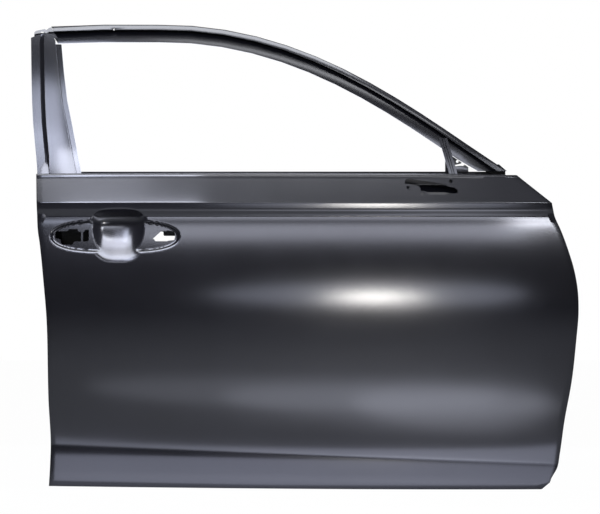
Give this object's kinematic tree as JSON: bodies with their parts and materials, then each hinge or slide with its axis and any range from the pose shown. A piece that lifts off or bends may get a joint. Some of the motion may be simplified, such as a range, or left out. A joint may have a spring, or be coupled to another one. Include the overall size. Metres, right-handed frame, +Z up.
{
  "type": "car door shell",
  "caption": "Bare right-hand front door shell of a saloon in black satin e-coat, with handle pocket, mirror cut-outs and window frame.",
  "frame": {"origin": "centre of the upper hinge's seat on the inner panel's front wall", "axes": "+X to the front of the car along the door, -Y outboard, +Z up"},
  "size_m": [1.1802, 0.2366, 1.0028],
  "materials": {
    "satin_e_coat": "satin",
    "plated_nut": "satin"
  },
  "bodies": {
    "root": {"outer_panel": "satin_e_coat", "inner_panel": "satin_e_coat", "header_sash": "satin_e_coat", "rear_pillar_panel": "satin_e_coat", "rear_pillar_reinforcement": "satin_e_coat", "rear_sash": "satin_e_coat", "upper_corner_bracket": "satin_e_coat", "division_bar": "satin_e_coat", "mirror_corner_plate": "satin_e_coat", "front_sash_foot": "satin_e_coat", "outer_belt_reinforcement": "satin_e_coat", "inner_belt_reinforcement": "satin_e_coat", "handle_rear_reinforcement": "satin_e_coat", "handle_front_reinforcement": "satin_e_coat", "mirror_reinforcement": "satin_e_coat", "outer_panel_stiffener": "satin_e_coat", "impact_beam": "satin_e_coat", "impact_beam_front_bracket": "satin_e_coat", "impact_beam_rear_bracket": "satin_e_coat", "upper_hinge_reinforcement": "satin_e_coat", "lower_hinge_reinforcement": "satin_e_coat", "check_strap_reinforcement": "satin_e_coat", "latch_reinforcement": "satin_e_coat", "rear_guide_bracket": "satin_e_coat", "front_guide_bracket": "satin_e_coat", "upper_hinge_nut_low": "plated_nut", "upper_hinge_nut_high": "plated_nut", "lower_hinge_nut_low": "plated_nut", "lower_hinge_nut_high": "plated_nut"}
  },
  "joints": []
}
